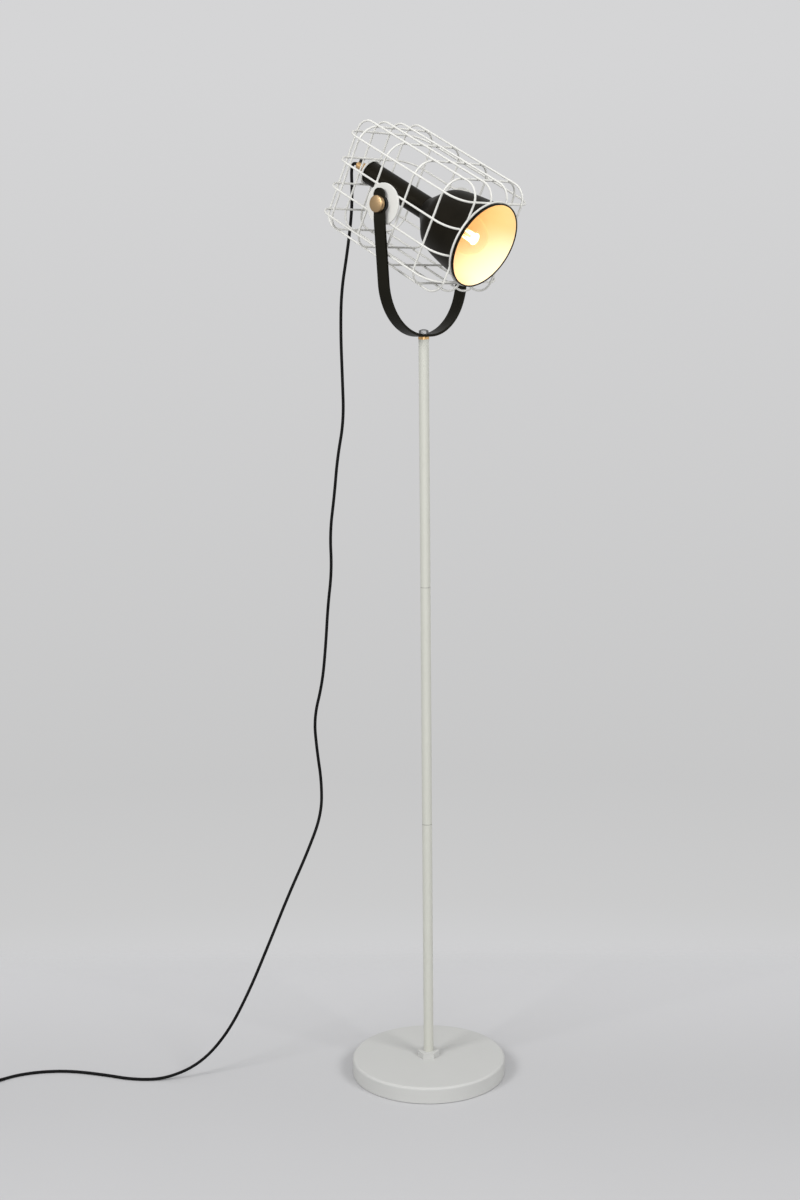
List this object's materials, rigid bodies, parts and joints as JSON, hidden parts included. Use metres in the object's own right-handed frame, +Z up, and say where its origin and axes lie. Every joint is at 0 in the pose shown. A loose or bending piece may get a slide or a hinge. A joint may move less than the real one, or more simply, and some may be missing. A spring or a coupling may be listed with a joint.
{
  "type": "floor lamp",
  "caption": "Floor lamp with a heavy round base, a straight pole and a U-shaped yoke that holds a tilting wire cage round a flared shade; a cord hangs from the neck's back.",
  "frame": {"origin": "centre of the base's underside, on the floor", "axes": "+Z up along the pole, -Y the way the lamp faces, +X and -X the yoke's two limbs"},
  "size_m": [0.7618, 0.6753, 1.5223],
  "materials": {
    "white_paint": "satin white paint",
    "pole_paint": "satin warm white paint",
    "wire_paint": "satin white paint on wire",
    "yoke_paint": "satin black paint",
    "black_paint": "dark plated steel",
    "iron": "rough casting",
    "steel": "plain zinc-plated steel",
    "collar_brass": "polished brass",
    "grip_brass": "polished brass",
    "knob_brass": "satin brass",
    "pad_rubber": "soft dark pad",
    "cord_rubber": "smooth black cord",
    "tie_fabric": "woven strap",
    "black_plastic": "moulded plastic",
    "nylon": "black nylon",
    "pin_metal": "nickel-plated brass",
    "cap_metal": "plain aluminium",
    "shade_paint": "satin black outside, warm white inside the shade",
    "bulb_glass": "clear glass, lit",
    "filament": "glowing strips"
  },
  "bodies": {
    "stand": {"base_cover": "white_paint", "base_weight": "iron", "base_pad": "pad_rubber", "base_stud": "steel", "base_nut": "white_paint", "pole_foot_plug": "steel", "pole_lower": "pole_paint", "pole_coupling_lower": "steel", "pole_middle": "pole_paint", "pole_coupling_upper": "steel", "pole_upper": "pole_paint", "swivel_stud": "steel", "brass_collar": "collar_brass", "swivel_nut": "black_paint"},
    "yoke": {"yoke_strap": "yoke_paint", "cord": "cord_rubber", "cord_coil": "cord_rubber", "cord_tie": "tie_fabric", "switch_lower": "black_plastic", "switch_upper": "black_plastic", "plug_body": "black_plastic", "plug_pins": "pin_metal"},
    "head": {"mouth_ring": "wire_paint", "neck_ring": "wire_paint", "shade": "shade_paint", "neck_tube": "shade_paint", "neck_cap": "shade_paint", "cord_grip": "grip_brass", "grip_screw": "nylon", "socket_body": "black_plastic", "socket_shell": "grip_brass", "socket_contact": "grip_brass", "neck_wiring": "cord_rubber", "bulb_cap": "cap_metal", "bulb_glass": "bulb_glass", "bulb_filament": "filament", "cage_hoop_1": "wire_paint", "cage_hoop_2": "wire_paint", "cage_hoop_3": "wire_paint", "cage_hoop_4": "wire_paint", "cage_long_loop_1": "wire_paint", "cage_long_loop_2": "wire_paint", "cage_long_loop_3": "wire_paint", "cage_long_loop_4": "wire_paint", "cage_side_loop_1": "wire_paint", "cage_side_loop_2": "wire_paint", "cage_side_loop_3": "wire_paint", "cage_side_loop_4": "wire_paint", "pivot_disc_left": "wire_paint", "pivot_disc_right": "wire_paint", "pivot_boss_left": "wire_paint", "pivot_boss_right": "wire_paint", "pivot_washer_left": "nylon", "pivot_washer_right": "nylon"},
    "knob_left": {"knob_left": "knob_brass", "knob_screw_left": "steel"},
    "knob_right": {"knob_right": "knob_brass", "knob_screw_right": "steel"},
    "switch_rocker": {"switch_rocker": "black_plastic"}
  },
  "joints": [
    {"name": "yoke_swivel", "type": "hinge", "parent": "stand", "child": "yoke", "pos_m": [0, 0, 1.2], "axis": [0, 0, 1], "range_deg": [-90, 90]},
    {"name": "head_tilt", "type": "hinge", "parent": "yoke", "child": "head", "pos_m": [0, 0, 1.3945], "axis": [1, 0, 0], "range_deg": [-80, 26], "deforming": ["cord"]},
    {"name": "knob_left_turn", "type": "hinge", "parent": "head", "child": "knob_left", "pos_m": [-0.1055, 0, 1.3945], "axis": [1, 0, 0], "continuous": true},
    {"name": "knob_right_turn", "type": "hinge", "parent": "head", "child": "knob_right", "pos_m": [0.1055, 0, 1.3945], "axis": [1, 0, 0], "continuous": true},
    {"name": "switch_rock", "type": "hinge", "parent": "yoke", "child": "switch_rocker", "pos_m": [-0.541, 0.513, 0.0157], "axis": [0, 1, 0], "range_deg": [-16, 0]}
  ]
}
